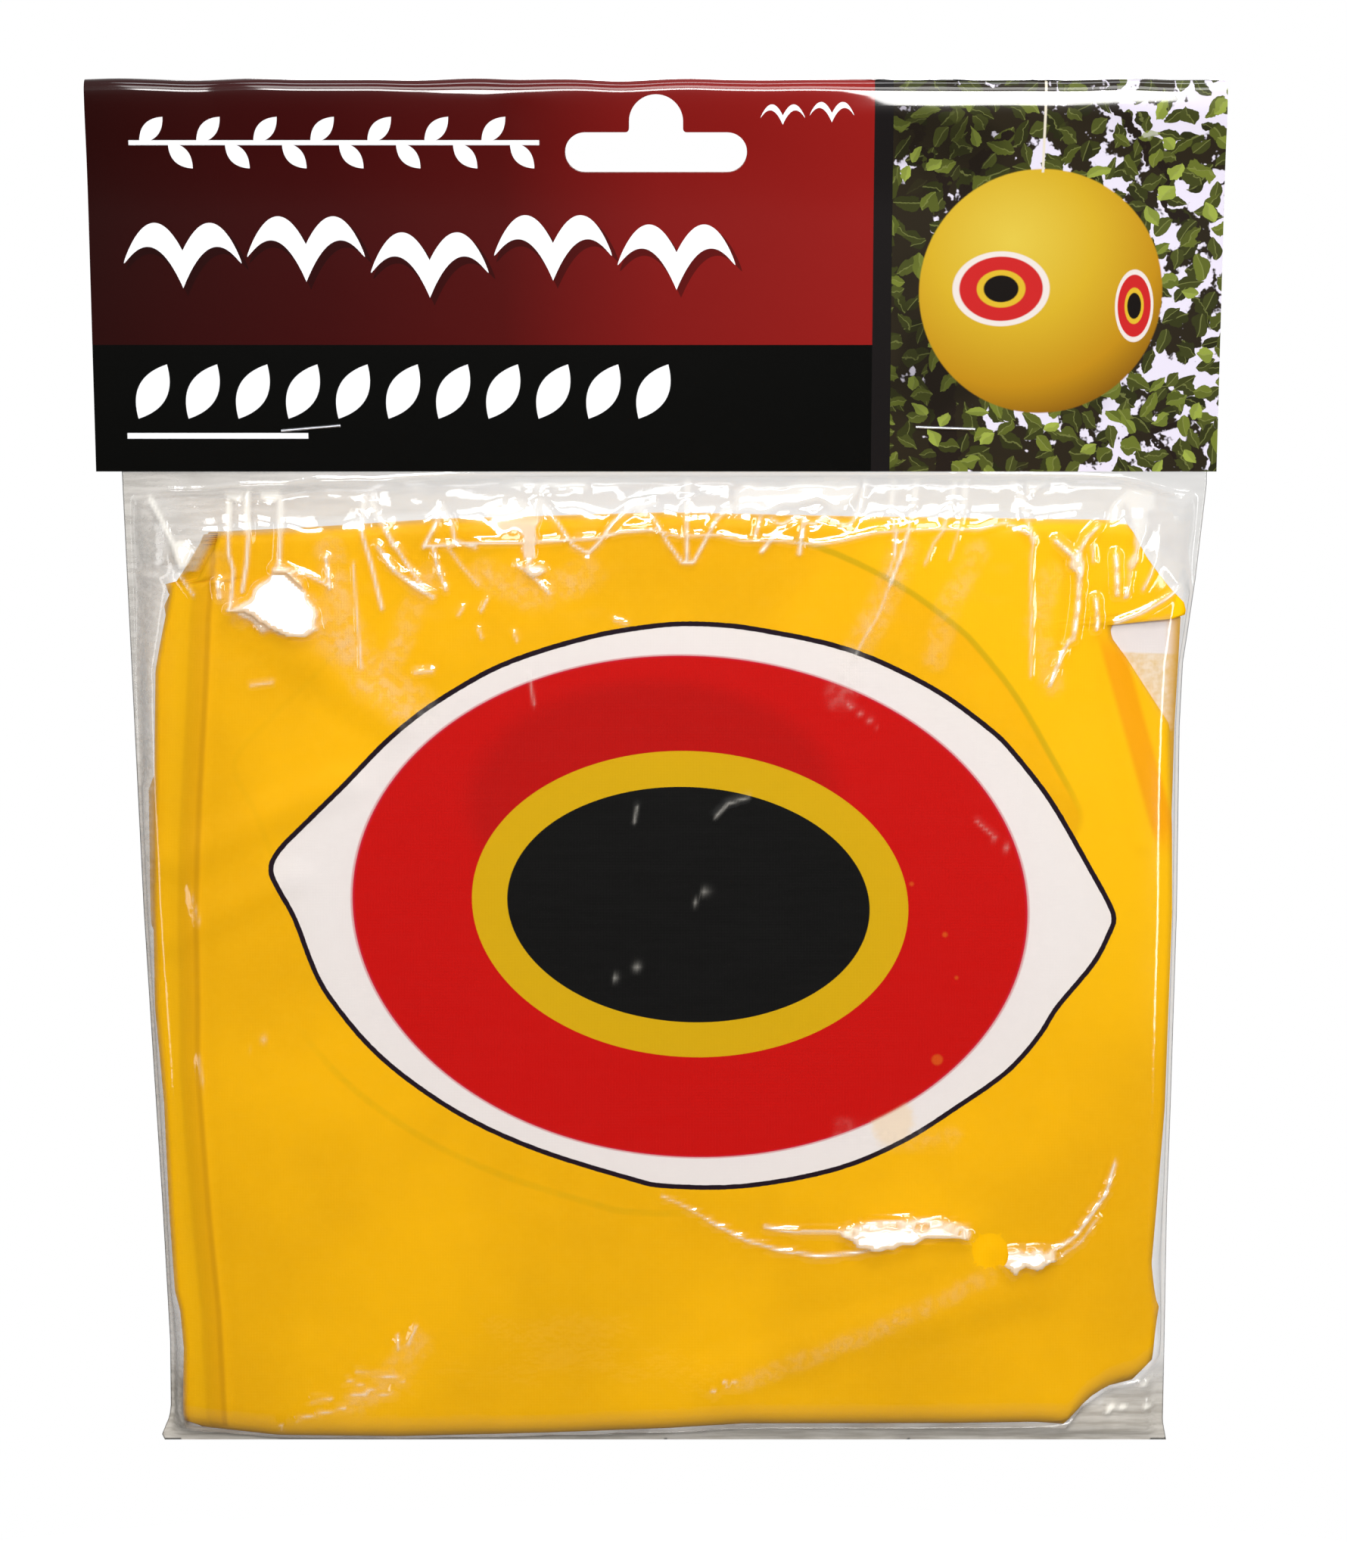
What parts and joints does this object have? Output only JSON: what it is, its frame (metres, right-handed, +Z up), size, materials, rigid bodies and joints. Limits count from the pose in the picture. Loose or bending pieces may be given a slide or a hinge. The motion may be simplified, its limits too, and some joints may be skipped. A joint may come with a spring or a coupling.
{
  "type": "bird scare balloon",
  "caption": "Deflated vinyl scare-eye ball, letter-folded in a clear bag that hangs by two staples from a folded header card with a peg slot.",
  "frame": {"origin": "where a display peg bears, at the top of the hang slot's hump, on the card's middle plane", "axes": "+Z up the hanging pack, +X to the right seen from the front, the printed front faces -Y"},
  "size_m": [0.2, 0.0124, 0.2522],
  "materials": {
    "printed_card": "gloss-coated printed card, dark red over black",
    "staple_wire": "bright drawn wire",
    "clear_film": "clear, thin and glossy",
    "yellow_vinyl": "soft vinyl, semi-gloss, printed eye",
    "eyelet_brass": "rolled brass"
  },
  "bodies": {
    "header": {"header_card": "printed_card", "staple_left": "staple_wire", "staple_right": "staple_wire", "bag_mouth": "clear_film", "bag_neck": "clear_film"},
    "pouch": {"bag_pouch": "clear_film", "balloon_gore_1": "yellow_vinyl", "balloon_gore_2": "yellow_vinyl", "balloon_gore_3": "yellow_vinyl", "balloon_gore_4": "yellow_vinyl", "balloon_gore_5": "yellow_vinyl", "balloon_gore_6": "yellow_vinyl", "top_tab": "yellow_vinyl", "top_tab_eyelet": "eyelet_brass", "bottom_tab": "yellow_vinyl", "bottom_tab_eyelet": "eyelet_brass", "valve_collar": "yellow_vinyl", "valve_plug": "yellow_vinyl"}
  },
  "joints": [
    {"name": "neck_hinge", "type": "hinge", "parent": "header", "child": "pouch", "pos_m": [0.0013, 0, -0.0689], "axis": [1, 0, 0], "range_deg": [-100, 100], "deforming": ["bag_neck"]}
  ]
}
